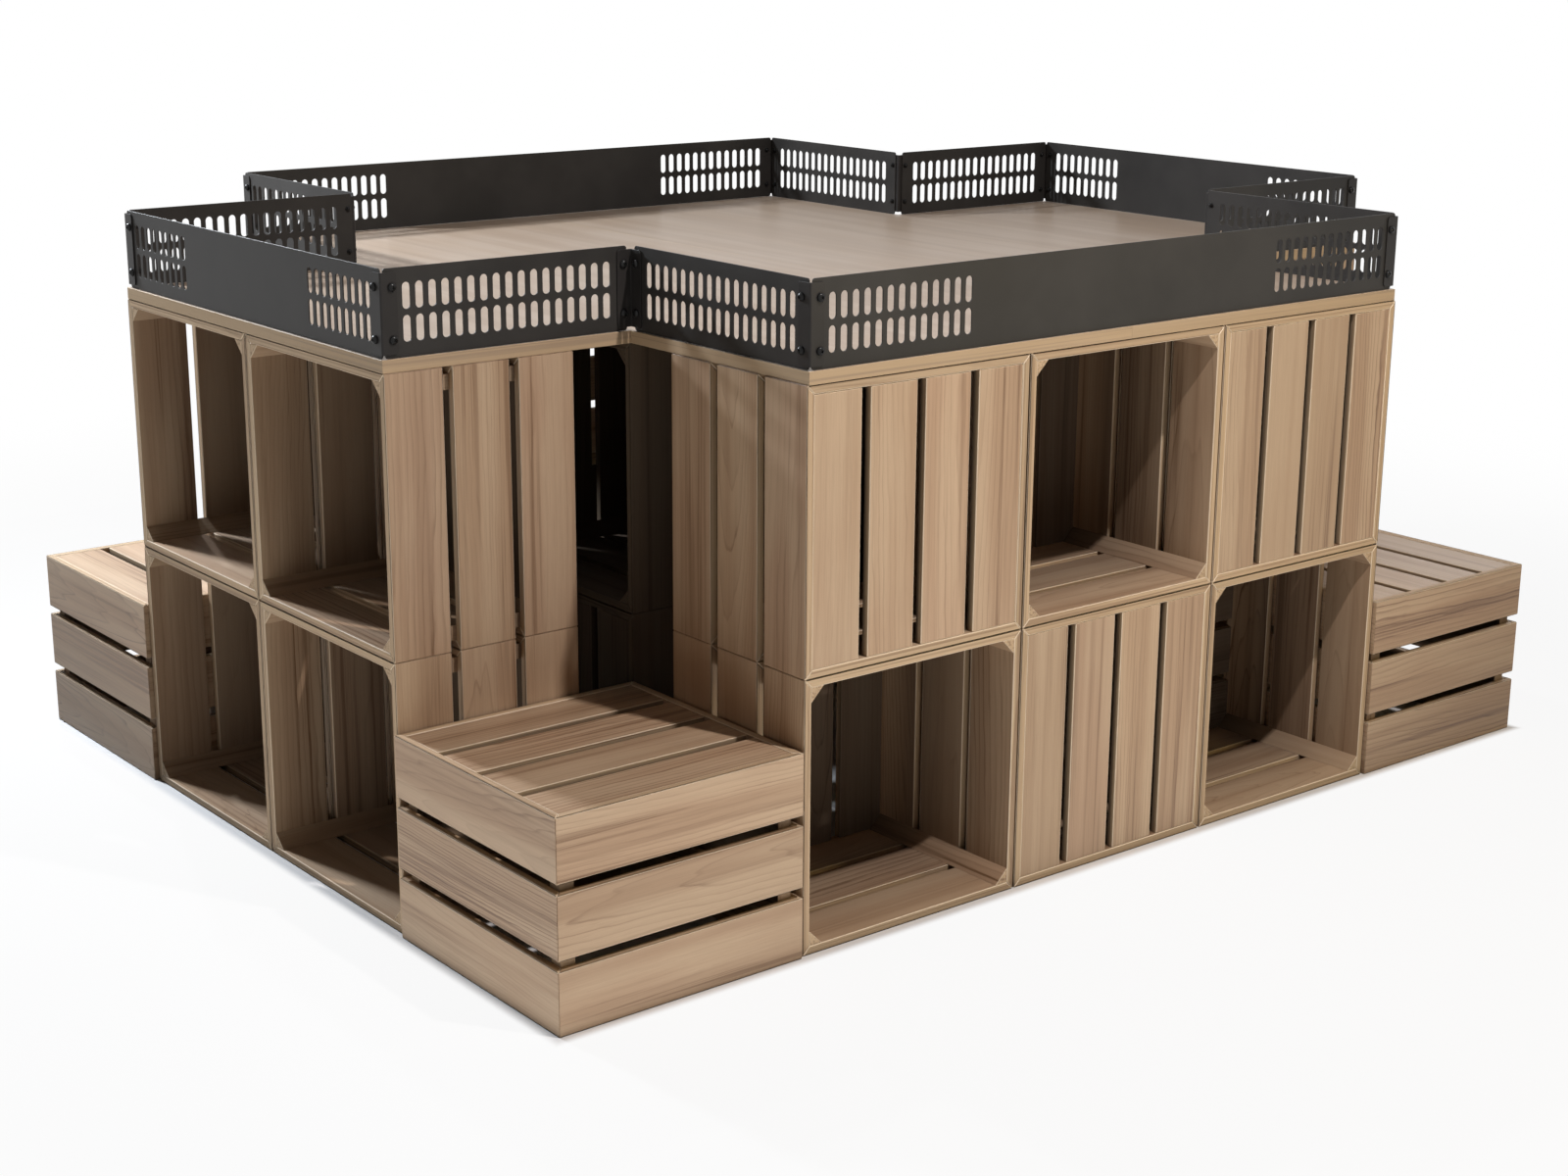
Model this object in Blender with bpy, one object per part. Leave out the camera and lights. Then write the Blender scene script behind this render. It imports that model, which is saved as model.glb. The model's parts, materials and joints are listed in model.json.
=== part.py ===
# Crate display stand. Slatted wooden crates lie on their sides, two high, in the shape of a cross.
# They carry a cross-shaped tabletop in two halves, with a slotted steel fence bolted up round its edge.
# A loose upturned crate stands in each corner of the cross.
# Metres, +Z up. The origin is on the floor under the centre, and the front faces -Y.

import math

import bmesh
import bpy
from mathutils import Matrix, Vector

# Crate
crate_side = 0.400
crate_depth = 0.300
wall_thickness = 0.012
wall_board_count = 3
wall_board_gap = 0.015
slat_thickness = 0.012
slat_count = 4
slat_gap = 0.015
slat_recess = 0.001
post_leg = 0.022

# Layout of the crates
front_row_count = 3
side_row_count = 2
level_count = 2
crate_gap = 0.003
corner_play_x = 0.004
corner_play_y = 0.003

# Tabletop
top_thickness = 0.018

# Fence panels
panel_thickness = 0.002
panel_height = 0.120
panel_inset = 0.004
outer_end_setback = 0.0035
inner_end_setback = 0.008
slot_width = 0.012
slot_length = 0.036
slot_pitch = 0.020
slot_row_gap = 0.008
slot_row_count = 2
slot_end_margin = 0.034
front_group_slots = 13
side_group_slots = 9
slot_shoulder_share = 0.5

# Corner brackets and their bolts
bracket_thickness = 0.002
flange_width = 0.025
bracket_end_margin = 0.005
bracket_chamfer = 0.004
bolt_setback = 0.015
bolt_end_margin = 0.020
bolt_head_radius = 0.006
bolt_head_height = 0.006
bolt_head_sides = 8

# Gap that resting and touching faces keep
rest_gap = 0.0003
weld_distance = 0.00001
flat_angle = math.radians(0.5)

# Sizes that follow
crate_half = crate_side / 2
inner_half = crate_half - wall_thickness
crate_mouth = -crate_depth / 2
crate_base = crate_depth / 2
slat_face = crate_base - slat_recess
crate_floor = slat_face - slat_thickness
wall_board_width = (crate_depth - (wall_board_count - 1) * wall_board_gap) / wall_board_count
slat_width = (2 * inner_half - (slat_count - 1) * slat_gap) / slat_count
crate_pitch = crate_side + crate_gap
level_pitch = crate_side + rest_gap
front_row_half = (front_row_count * crate_pitch - crate_gap) / 2
side_row_half = (side_row_count * crate_pitch - crate_gap) / 2
front_arm_half = front_row_count * crate_side / 2
side_arm_half = side_row_count * crate_side / 2
stand_half_x = front_arm_half + crate_side
stand_half_y = side_arm_half + crate_side
top_underside = level_count * level_pitch
top_surface = top_underside + top_thickness
fence_base = top_surface + rest_gap
fence_middle = fence_base + panel_height / 2
bracket_height = panel_height - 2 * bracket_end_margin
bolt_spacing = bracket_height - 2 * bolt_end_margin

LEFT, RIGHT, FRONT, BACK = -1, 1, -1, 1
FACING_FRONT, FACING_RIGHT, FACING_BACK, FACING_LEFT = 0, 1, 2, 3


# Removes whatever the file held before.
def clear_scene():
    for old in list(bpy.data.objects):
        bpy.data.objects.remove(old, do_unlink=True)


# A finish with one colour, roughness and metallic value.
def finish(name, color, roughness, metallic):
    material = bpy.data.materials.new(name)
    material.use_nodes = True
    shader = material.node_tree.nodes["Principled BSDF"]
    shader.inputs["Base Color"].default_value = (*color, 1)
    shader.inputs["Roughness"].default_value = roughness
    shader.inputs["Metallic"].default_value = metallic
    material.diffuse_color = (*color, 1)
    return material


# An empty that groups the pieces of one sub-assembly.
def group(name, height):
    empty = bpy.data.objects.new(name, None)
    empty.location.z = height
    bpy.context.collection.objects.link(empty)
    return empty


# One named piece of the stand.
def piece(name, mesh, material, location, parent):
    if not mesh.materials:
        mesh.materials.append(material)
    made = bpy.data.objects.new(name, mesh)
    made.location = location
    made.parent = parent
    bpy.context.collection.objects.link(made)
    return made


# Turns a finished bmesh into a mesh with its faces pointing out.
def to_mesh(bm, name):
    bmesh.ops.recalc_face_normals(bm, faces=bm.faces)
    mesh = bpy.data.meshes.new(name)
    bm.to_mesh(mesh)
    bm.free()
    return mesh


# A closed loop of edges through points of the XY plane.
def add_loop(bm, points):
    verts = [bm.verts.new((x, y, 0)) for x, y in points]
    for here, there in zip(verts, verts[1:] + verts[:1]):
        bm.edges.new((here, there))


# A flat plate standing on the XY plane, with an outline and any holes through it.
def plate(outline, holes, thickness):
    bm = bmesh.new()
    add_loop(bm, outline)
    for hole in holes:
        add_loop(bm, hole)
    bmesh.ops.triangle_fill(bm, edges=bm.edges[:], use_beauty=True, use_dissolve=False)
    raised = bmesh.ops.extrude_face_region(bm, geom=bm.faces[:], use_keep_orig=True)
    moved = [item for item in raised["geom"] if isinstance(item, bmesh.types.BMVert)]
    bmesh.ops.translate(bm, verts=moved, vec=(0, 0, thickness))
    return bm


# A rectangle of the XY plane, counterclockwise.
def rectangle(left, right, low, high):
    return [(left, low), (right, low), (right, high), (left, high)]


# Joins further bodies onto a body.
def joined(body, additions, name):
    target = bpy.data.objects.new(name, to_mesh(body, name))
    bpy.context.collection.objects.link(target)
    guides = []
    for number, addition in enumerate(additions):
        guide_name = f"{name}_addition_{number}"
        guide = bpy.data.objects.new(guide_name, to_mesh(addition, guide_name))
        guide.hide_render = True
        guide.display_type = "WIRE"
        bpy.context.collection.objects.link(guide)
        step = target.modifiers.new(guide_name, "BOOLEAN")
        step.operation = "UNION"
        step.solver = "EXACT"
        step.object = guide
        guides.append(guide)
    bpy.context.view_layer.update()
    solid = target.evaluated_get(bpy.context.evaluated_depsgraph_get())
    mesh = bpy.data.meshes.new_from_object(solid)
    for spare in guides + [target]:
        bpy.data.objects.remove(spare, do_unlink=True)
    bm = bmesh.new()
    bm.from_mesh(mesh)
    bmesh.ops.remove_doubles(bm, verts=bm.verts[:], dist=weld_distance)
    bmesh.ops.dissolve_limit(bm, angle_limit=flat_angle, verts=bm.verts[:], edges=bm.edges[:])
    return to_mesh(bm, name)


# A mesh from flat polygons. Each edge takes in the corners of other polygons that lie on it.
def mesh_from_polygons(polygons, name):
    bm = bmesh.new()
    corners = {}
    for point in (Vector(point) for polygon in polygons for point in polygon):
        key = tuple(round(value / weld_distance) for value in point)
        if key not in corners:
            corners[key] = bm.verts.new(point)
    for polygon in polygons:
        outline = []
        for here, there in zip(polygon, polygon[1:] + polygon[:1]):
            start, end = Vector(here), Vector(there)
            along = (end - start).normalized()
            length = (end - start).length
            passed = []
            for corner in corners.values():
                reach = (corner.co - start).dot(along)
                aside = (corner.co - start - along * reach).length
                if aside < weld_distance and -weld_distance < reach < length - weld_distance:
                    passed.append((reach, corner))
            outline += [corner for _, corner in sorted(passed, key=lambda found: found[0])]
        bm.faces.new(outline)
    return to_mesh(bm, name)


# Four corners of a square about the depth axis of a crate.
def square(half, y):
    return [(-half, y, -half), (half, y, -half), (half, y, half), (-half, y, half)]


# Eight corners of the crate's hollow, whose corners are cut off by the posts. Side 0 lies at the low Z.
def hollow_outline(y):
    cut = inner_half - post_leg
    return [(-cut, y, -inner_half), (cut, y, -inner_half), (inner_half, y, -cut), (inner_half, y, cut),
            (cut, y, inner_half), (-cut, y, inner_half), (-inner_half, y, cut), (-inner_half, y, -cut)]


# Quads between two outlines with as many corners, or between every second side of them.
def strips_between(first, second, step=1):
    count = len(first)
    return [[first[side], first[(side + 1) % count], second[(side + 1) % count], second[side]]
            for side in range(0, count, step)]


# The posts' faces, which the hollow shows over its whole depth, and the rim round the opening.
def post_and_rim_polygons():
    outer = square(crate_half, crate_mouth)
    inner = hollow_outline(crate_mouth)
    floor_outline = hollow_outline(crate_floor)
    polygons = strips_between(inner[1:] + inner[:1], floor_outline[1:] + floor_outline[:1], 2)
    for side in range(4):
        following = (side + 1) % 4
        polygons.append([outer[side], outer[following], inner[2 * side + 1], inner[2 * side]])
        polygons.append([outer[following], inner[2 * following], inner[2 * side + 1]])
    return polygons


# Rings of wall boards, and the gaps between the rings, where only the posts go on.
def wall_polygons():
    polygons = []
    for number in range(wall_board_count):
        start = crate_mouth + number * (wall_board_width + wall_board_gap)
        last = number == wall_board_count - 1
        end = crate_base if last else start + wall_board_width
        polygons += strips_between(square(crate_half, start), square(crate_half, end))
        polygons += strips_between(hollow_outline(start), hollow_outline(crate_floor if last else end), 2)
        if not last:
            polygons += wall_gap_polygons(end, end + wall_board_gap)
    return polygons


# The edges of two rings of boards that face each other across a gap, and the posts between them.
def wall_gap_polygons(start, end):
    polygons = []
    for y in (start, end):
        polygons += strips_between(square(crate_half, y), square(inner_half, y))
    for side in range(4):
        for corner in (2 * side, 2 * side - 1):
            polygons.append([square(inner_half, start)[side], hollow_outline(start)[corner],
                             hollow_outline(end)[corner], square(inner_half, end)[side]])
    return polygons


# The bottom slats with the slots between them, and the rim of the last ring that stands round them.
def bottom_polygons():
    polygons = strips_between(square(inner_half, slat_face), square(inner_half, crate_base))
    polygons += strips_between(square(crate_half, crate_base), square(inner_half, crate_base))
    hollow = hollow_outline(crate_floor)
    for number in range(slat_count):
        left = -inner_half + number * (slat_width + slat_gap)
        right = left + slat_width
        left_side = [(left, crate_floor, inner_half), (left, crate_floor, -inner_half)]
        right_side = [(right, crate_floor, -inner_half), (right, crate_floor, inner_half)]
        if number == 0:
            left_side = hollow[5:] + hollow[:1]
        if number == slat_count - 1:
            right_side = hollow[1:5]
        polygons.append(left_side + right_side)
        polygons.append(upright_rectangle(left, right, slat_face))
        if number < slat_count - 1:
            polygons += strips_between(upright_rectangle(right, right + slat_gap, crate_floor),
                                       upright_rectangle(right, right + slat_gap, slat_face))
    return polygons


# A rectangle over the height of the crate's hollow, square to the crate's depth.
def upright_rectangle(left, right, y):
    return [(left, y, -inner_half), (right, y, -inner_half), (right, y, inner_half), (left, y, inner_half)]


# A crate centred on the origin, its opening towards -Y and its bottom slats upright.
def crate_mesh():
    return mesh_from_polygons(post_and_rim_polygons() + wall_polygons() + bottom_polygons(), "crate")


# Turns a crate: roll about its own depth, tilt its opening down, then face a side.
def turn_crate(crate, facing, rolled, tilted):
    crate.rotation_mode = "YXZ"
    crate.rotation_euler = (tilted * math.pi / 2, rolled * math.pi / 2, facing * math.pi / 2)


# A long row of the cross, seen from outside, with the bottoms of some crates turned outwards.
def build_long_row(side, mesh, material, parent):
    side_name = "front" if side == FRONT else "back"
    facing_out, facing_in = (FACING_FRONT, FACING_BACK) if side == FRONT else (FACING_BACK, FACING_FRONT)
    rolled_crates = {("front", "lower", "right"), ("back", "upper", "middle")}
    for level, level_name in enumerate(("lower", "upper")):
        for column, column_name in zip(range(front_row_count), ("left", "middle", "right")):
            x = (column - (front_row_count - 1) / 2) * crate_pitch
            y = side * (stand_half_y - crate_depth / 2)
            z = crate_side / 2 + level * level_pitch
            name = f"crate_{side_name}_{level_name}_{column_name}"
            crate = piece(name, mesh, material, (x, y, z), parent)
            open_out = (level + column) % 2 == 0
            rolled = (side_name, level_name, column_name) in rolled_crates
            turn_crate(crate, facing_out if open_out else facing_in, rolled, False)


# A short row at the left or right end of the cross, all its crates open to the outside.
def build_short_row(side, mesh, material, parent):
    side_name = "left" if side == LEFT else "right"
    for level, level_name in enumerate(("lower", "upper")):
        for column, column_name in zip(range(side_row_count), ("front", "back")):
            x = side * (stand_half_x - crate_depth / 2)
            y = (column - (side_row_count - 1) / 2) * crate_pitch
            z = crate_side / 2 + level * level_pitch
            crate = piece(f"crate_{side_name}_{level_name}_{column_name}", mesh, material, (x, y, z), parent)
            turn_crate(crate, FACING_LEFT if side == LEFT else FACING_RIGHT, False, False)


# A column of two crates inside the cross, under an inner corner of the tabletop.
def build_core_column(side_x, side_y, mesh, material, parent):
    end_name = "left" if side_x == LEFT else "right"
    facing_out, facing_in = (FACING_LEFT, FACING_RIGHT) if side_x == LEFT else (FACING_RIGHT, FACING_LEFT)
    for level, level_name in enumerate(("lower", "upper")):
        x = side_x * (front_row_half - crate_depth / 2)
        y = side_y * (side_arm_half - crate_side / 2)
        z = crate_side / 2 + level * level_pitch
        crate = piece(f"crate_core_{end_name}_{level_name}", mesh, material, (x, y, z), parent)
        turn_crate(crate, facing_out if level else facing_in, False, False)


# The loose upturned crates in the four corners of the cross.
def build_corner_crates(mesh, material):
    for side_x, x_name in ((LEFT, "left"), (RIGHT, "right")):
        for side_y, y_name in ((FRONT, "front"), (BACK, "back")):
            x = side_x * (front_row_half + corner_play_x + crate_side / 2)
            y = side_y * (side_row_half + corner_play_y + crate_side / 2)
            crate = piece(f"corner_crate_{y_name}_{x_name}", mesh, material, (x, y, crate_depth / 2), None)
            slats_along_x = side_x * side_y > 0
            turn_crate(crate, FACING_FRONT, slats_along_x, True)


# Half of the cross-shaped tabletop. The halves meet along the middle of the stand.
def build_top_half(side, material, parent):
    seam = rest_gap / 2
    outline = [(seam, -stand_half_y), (front_arm_half, -stand_half_y), (front_arm_half, -side_arm_half),
               (stand_half_x, -side_arm_half), (stand_half_x, side_arm_half), (front_arm_half, side_arm_half),
               (front_arm_half, stand_half_y), (seam, stand_half_y)]
    bm = plate([(side * x, y) for x, y in outline], [], top_thickness)
    name = "tabletop_left" if side == LEFT else "tabletop_right"
    piece(name, to_mesh(bm, name), material, (0, 0, 0), parent)


# Outline of a slot with peaked ends, centred on a point of the panel.
def slot_outline(x, z):
    half_width = slot_width / 2
    shoulder = slot_length / 2 - slot_width * slot_shoulder_share
    tip = slot_length / 2
    points = [(half_width, -shoulder), (half_width, shoulder), (0, tip),
              (-half_width, shoulder), (-half_width, -shoulder), (0, -tip)]
    return [(x + across, z + along) for across, along in points]


# Places of the slots along a panel: one full row, or a group at each end of a bare middle.
def slot_places(length, group_slots):
    if group_slots:
        offsets = [slot_end_margin + number * slot_pitch for number in range(group_slots)]
        return offsets + [length - offset for offset in offsets]
    count = math.floor((length - 2 * slot_end_margin) / slot_pitch) + 1
    first = (length - (count - 1) * slot_pitch) / 2
    return [first + number * slot_pitch for number in range(count)]


# A slotted fence panel from a start point, running along a direction, its outer face to the right of it.
def build_panel(name, start, end, group_slots, material, parent):
    start, end = Vector(start), Vector(end)
    length = (end - start).length
    row_pitch = slot_length + slot_row_gap
    holes = []
    for row in range(slot_row_count):
        z = (row - (slot_row_count - 1) / 2) * row_pitch
        holes += [slot_outline(x, z) for x in slot_places(length, group_slots)]
    bm = plate(rectangle(0, length, -panel_height / 2, panel_height / 2), holes, panel_thickness)
    upright = Matrix.Rotation(math.pi / 2, 3, "X")
    bmesh.ops.rotate(bm, verts=bm.verts[:], matrix=upright)
    bmesh.ops.translate(bm, verts=bm.verts[:], vec=(0, panel_thickness, 0))
    panel = piece(name, to_mesh(bm, name), material, (start.x, start.y, 0), parent)
    panel.rotation_euler.z = math.atan2(end.y - start.y, end.x - start.x)


# Corners of the fence, counterclockwise from the front left, at the outer faces of the panels.
# Each has its name, its place and whether the fence turns outwards or inwards there.
def fence_corners():
    long_x = front_arm_half - panel_inset
    long_y = stand_half_y - panel_inset
    end_x = stand_half_x - panel_inset
    end_y = side_arm_half - panel_inset
    return [
        ("front_arm_left", (-long_x, -long_y), True),
        ("front_arm_right", (long_x, -long_y), True),
        ("inner_front_right", (long_x, -end_y), False),
        ("right_arm_front", (end_x, -end_y), True),
        ("right_arm_back", (end_x, end_y), True),
        ("inner_back_right", (long_x, end_y), False),
        ("back_arm_right", (long_x, long_y), True),
        ("back_arm_left", (-long_x, long_y), True),
        ("inner_back_left", (-long_x, end_y), False),
        ("left_arm_back", (-end_x, end_y), True),
        ("left_arm_front", (-end_x, -end_y), True),
        ("inner_front_left", (-long_x, -end_y), False),
    ]


panel_names = [
    "fence_front", "fence_front_arm_right", "fence_right_arm_front", "fence_right",
    "fence_right_arm_back", "fence_back_arm_right", "fence_back", "fence_back_arm_left",
    "fence_left_arm_back", "fence_left", "fence_left_arm_front", "fence_front_arm_left",
]


# The panels between the corners. Their ends stay short of the corners, more so at the inner ones.
def build_panels(material, parent):
    corners = fence_corners()
    bare_middles = {"fence_front": front_group_slots, "fence_back": front_group_slots,
                    "fence_left": side_group_slots, "fence_right": side_group_slots}
    for number, name in enumerate(panel_names):
        here, there = corners[number], corners[(number + 1) % len(corners)]
        start, end = Vector(here[1]), Vector(there[1])
        along = (end - start).normalized()
        start += along * (outer_end_setback if here[2] else inner_end_setback)
        end -= along * (outer_end_setback if there[2] else inner_end_setback)
        build_panel(name, start, end, bare_middles.get(name, 0), material, parent)


# A bolt head that starts inside a flange and stands out of it along an axis.
def bolt_head(place, axis):
    bm = bmesh.new()
    depth = bolt_head_height + bracket_thickness / 2
    bmesh.ops.create_cone(bm, cap_ends=True, segments=bolt_head_sides, radius1=bolt_head_radius,
                          radius2=bolt_head_radius, depth=depth)
    flat_side_up = Matrix.Rotation(math.pi / bolt_head_sides, 3, "Z")
    stand_out = Vector((0, 0, 1)).rotation_difference(axis).to_matrix()
    bmesh.ops.rotate(bm, verts=bm.verts[:], matrix=stand_out @ flat_side_up)
    bmesh.ops.translate(bm, verts=bm.verts[:], vec=place)
    return bm


# An angle bracket with its four bolts, centred on the height of the fence.
# Its origin is the fence corner, where the outer faces of two panels meet, and they run to +X and +Y.
# At an outer corner the bracket wraps round the panels, and at an inner corner it lies in their angle.
def bracket_mesh(turns_outwards):
    side = -1 if turns_outwards else 1
    near = side * rest_gap
    far = side * (rest_gap + bracket_thickness)
    heel, crook = min(near, far), max(near, far)
    reach = heel + flange_width
    outline = [(heel, heel), (reach, heel), (reach, crook), (crook, crook), (crook, reach), (heel, reach)]
    bm = plate(outline, [], bracket_height)
    bmesh.ops.translate(bm, verts=bm.verts[:], vec=(0, 0, -bracket_height / 2))
    tips = []
    for edge in bm.edges:
        here, there = (vert.co for vert in edge.verts)
        level = abs(here.z - there.z) < weld_distance
        at_tip = min(here.x, there.x) > reach - weld_distance or min(here.y, there.y) > reach - weld_distance
        if level and at_tip:
            tips.append(edge)
    bmesh.ops.bevel(bm, geom=tips, offset=bracket_chamfer, segments=1, affect="EDGES")
    heads = []
    for z in (-bolt_spacing / 2, bolt_spacing / 2):
        middle = far + side * (bolt_head_height - bracket_thickness / 2) / 2
        heads.append(bolt_head((bolt_setback, middle, z), Vector((0, side, 0))))
        heads.append(bolt_head((middle, bolt_setback, z), Vector((side, 0, 0))))
    return joined(bm, heads, "outer_bracket" if turns_outwards else "inner_bracket")


# A bracket at every corner of the fence.
def build_brackets(material, parent):
    outer_mesh = bracket_mesh(True)
    inner_mesh = bracket_mesh(False)
    for name, (x, y), turns_outwards in fence_corners():
        open_side = -1 if turns_outwards else 1
        turn = math.atan2(math.copysign(open_side, open_side * y), math.copysign(open_side, open_side * x))
        mesh = outer_mesh if turns_outwards else inner_mesh
        bracket = piece(f"bracket_{name}", mesh, material, (x, y, 0), parent)
        bracket.rotation_euler.z = turn - math.pi / 4


# Builds the whole stand.
def build():
    clear_scene()
    crate_wood = finish("crate_wood", (0.44, 0.31, 0.20), 0.55, 0)
    top_wood = finish("tabletop_wood", (0.50, 0.40, 0.31), 0.42, 0)
    panel_steel = finish("fence_steel", (0.035, 0.033, 0.035), 0.45, 0.3)
    bracket_steel = finish("bracket_steel", (0.025, 0.024, 0.026), 0.38, 0.4)
    stack = group("crate_stack", 0)
    top = group("tabletop", top_underside)
    fence = group("fence", fence_middle)
    crate = crate_mesh()
    for side in (FRONT, BACK):
        build_long_row(side, crate, crate_wood, stack)
    for side in (LEFT, RIGHT):
        build_short_row(side, crate, crate_wood, stack)
    build_core_column(LEFT, FRONT, crate, crate_wood, stack)
    build_core_column(RIGHT, BACK, crate, crate_wood, stack)
    build_corner_crates(crate, crate_wood)
    for side in (LEFT, RIGHT):
        build_top_half(side, top_wood, top)
    build_panels(panel_steel, fence)
    build_brackets(bracket_steel, fence)


build()
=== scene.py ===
import json
import math
import random

import bmesh
import bpy
from mathutils import Matrix, Vector
from mathutils.bvhtree import BVHTree

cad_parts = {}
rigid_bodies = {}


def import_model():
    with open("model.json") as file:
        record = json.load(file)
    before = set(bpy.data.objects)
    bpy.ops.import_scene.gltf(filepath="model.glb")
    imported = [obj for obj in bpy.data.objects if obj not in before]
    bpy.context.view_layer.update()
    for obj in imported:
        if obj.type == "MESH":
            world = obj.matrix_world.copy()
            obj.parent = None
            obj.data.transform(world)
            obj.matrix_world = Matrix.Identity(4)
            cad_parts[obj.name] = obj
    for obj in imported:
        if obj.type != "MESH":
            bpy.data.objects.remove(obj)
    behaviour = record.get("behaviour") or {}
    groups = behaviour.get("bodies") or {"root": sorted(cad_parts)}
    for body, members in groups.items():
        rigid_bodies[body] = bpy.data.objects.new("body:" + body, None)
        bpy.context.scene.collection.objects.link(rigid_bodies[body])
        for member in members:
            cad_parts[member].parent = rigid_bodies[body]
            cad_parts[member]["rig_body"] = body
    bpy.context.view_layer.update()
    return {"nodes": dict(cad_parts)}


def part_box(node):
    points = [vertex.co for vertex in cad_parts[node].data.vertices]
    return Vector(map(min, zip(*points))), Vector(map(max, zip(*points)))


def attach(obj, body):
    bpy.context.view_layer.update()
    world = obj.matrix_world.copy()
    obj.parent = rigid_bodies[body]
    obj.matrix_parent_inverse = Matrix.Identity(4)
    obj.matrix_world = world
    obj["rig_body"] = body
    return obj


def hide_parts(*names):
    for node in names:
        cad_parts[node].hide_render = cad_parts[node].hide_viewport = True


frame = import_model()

print("stand: frame loaded,", len(frame["nodes"]), "nodes")


# the camera, placed as the photograph was taken

camera = {
    "location": (-2.5604, -3.2019, 1.3964),
    "forward": (0.60138, 0.75213, -0.26953),
    "right": (0.78205, -0.62319, 0.00590),
    "lens": 55.794,
    "sensor": 36.0,
    "sight": 200.0,
}


def addObject(name, data):
    made = bpy.data.objects.new(name, data)
    bpy.context.scene.collection.objects.link(made)
    return made


def addCamera(settings):
    data = bpy.data.cameras.new("standCamera")
    data.lens = settings["lens"]
    data.sensor_width = settings["sensor"]
    data.clip_end = settings["sight"]
    forward = Vector(settings["forward"]).normalized()
    right = Vector(settings["right"]).normalized()
    up = right.cross(forward).normalized()
    turn = Matrix((right, up, -forward)).transposed()
    eye = addObject("standCamera", data)
    eye.matrix_world = Matrix.Translation(settings["location"]) @ turn.to_4x4()
    bpy.context.scene.camera = eye


addCamera(camera)
print("stand: camera set")


# helpers for the finishes

class Wire:
    # a shader socket that can be used in sums
    def __init__(self, finish, socket):
        self.finish = finish
        self.socket = socket

    def join(self, operation, first, second):
        kind = "ShaderNodeMath" if self.socket.type == "VALUE" else "ShaderNodeVectorMath"
        return self.finish.node(kind, {"operation": operation}, {0: first, 1: second})

    def __add__(self, other):
        return self.join("ADD", self, other)

    def __radd__(self, other):
        return self.join("ADD", other, self)

    def __sub__(self, other):
        return self.join("SUBTRACT", self, other)

    def __rsub__(self, other):
        return self.join("SUBTRACT", other, self)

    def __mul__(self, other):
        return self.join("MULTIPLY", self, other)

    def __rmul__(self, other):
        return self.join("MULTIPLY", other, self)

    def __truediv__(self, other):
        return self.join("DIVIDE", self, other)

    def __rtruediv__(self, other):
        return self.join("DIVIDE", other, self)

    def __pow__(self, other):
        return self.join("POWER", self, other)

    def __rpow__(self, other):
        return self.join("POWER", other, self)


class Finish:
    # one material or world, and the ways its nodes are made
    def __init__(self, owners, name, shader="Principled BSDF"):
        self.owner = owners.new(name)
        self.owner.use_nodes = True
        self.tree = self.owner.node_tree
        self.shader = self.tree.nodes[shader]

    def feed(self, socket, value):
        if isinstance(value, Wire):
            self.tree.links.new(value.socket, socket)
        elif socket.type == "VECTOR" and isinstance(value, (int, float)):
            socket.default_value = (value,) * 3
        elif socket.type == "RGBA":
            socket.default_value = (*value[:3], 1)
        else:
            socket.default_value = value

    def node(self, kind, settings, sockets, output=0):
        made = self.tree.nodes.new(kind)
        for name, value in settings.items():
            setattr(made, name, value)
        for name, value in sockets.items():
            self.feed(made.inputs[name], value)
        return Wire(self, made.outputs[output])

    def mix(self, first, second, share):
        colourMix = {"data_type": "RGBA", "clamp_factor": True}
        return self.node("ShaderNodeMix", colourMix, {0: share, 6: first, 7: second}, 2)

    def rise(self, value, low, high, start=0.0, end=1.0):
        # goes smoothly from start to end while value goes from low to high
        sockets = {"Value": value, "From Min": low, "From Max": high, "To Min": start, "To Max": end}
        return self.node("ShaderNodeMapRange", {"interpolation_type": "SMOOTHSTEP"}, sockets)

    def noise(self, place, detail=2.0, roughness=0.5):
        sockets = {"Vector": place, "Scale": 1.0, "Detail": detail, "Roughness": roughness}
        return self.node("ShaderNodeTexNoise", {}, sockets, "Fac")

    def attribute(self, name, output="Vector"):
        return self.node("ShaderNodeAttribute", {"attribute_name": name}, {}, output)

    def split(self, vector):
        parts = self.node("ShaderNodeSeparateXYZ", {}, {0: vector}).socket.node.outputs
        return [Wire(self, socket) for socket in parts]

    def seen(self):
        # 1 for a ray from the camera, also by way of metal or glass, and 0 for light on its way
        camera, glossy, through = [self.node("ShaderNodeLightPath", {}, {}, f"Is {kind} Ray")
                                   for kind in ("Camera", "Glossy", "Transmission")]
        return self.rise(camera + glossy + through, 0.0, 1.0)

    def set(self, **values):
        for name, value in values.items():
            self.feed(self.shader.inputs[name.replace("_", " ")], value)


# wood of the crates and of the tabletop

crateWood = {
    "base": (0.480, 0.336, 0.214),
    "rosy": (0.476, 0.318, 0.210),
    "pale": (0.550, 0.408, 0.276),
    "line": (0.190, 0.104, 0.054),
    "shade": (0.350, 0.222, 0.134),
    "edge": (0.550, 0.405, 0.250),
    # colour of the painted highlight along every arris
    "corner": (0.920, 0.790, 0.610),
    "ringSpacing": 0.0080,
    "ringStrength": 1.05,
    "streakStrength": 0.55,
    "groupStrength": 0.50,
    "poreStrength": 0.32,
    "fibreStrength": 0.22,
    "toneSpread": 0.16,
    "roughness": 0.43,
    "bump": 0.25,
    "bumpHeight": 0.0004,
    "gloss": 0.42,
    # how much the painted shade darkens the inside of a crate
    "paintedShadeStrength": 0.78,
}

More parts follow.
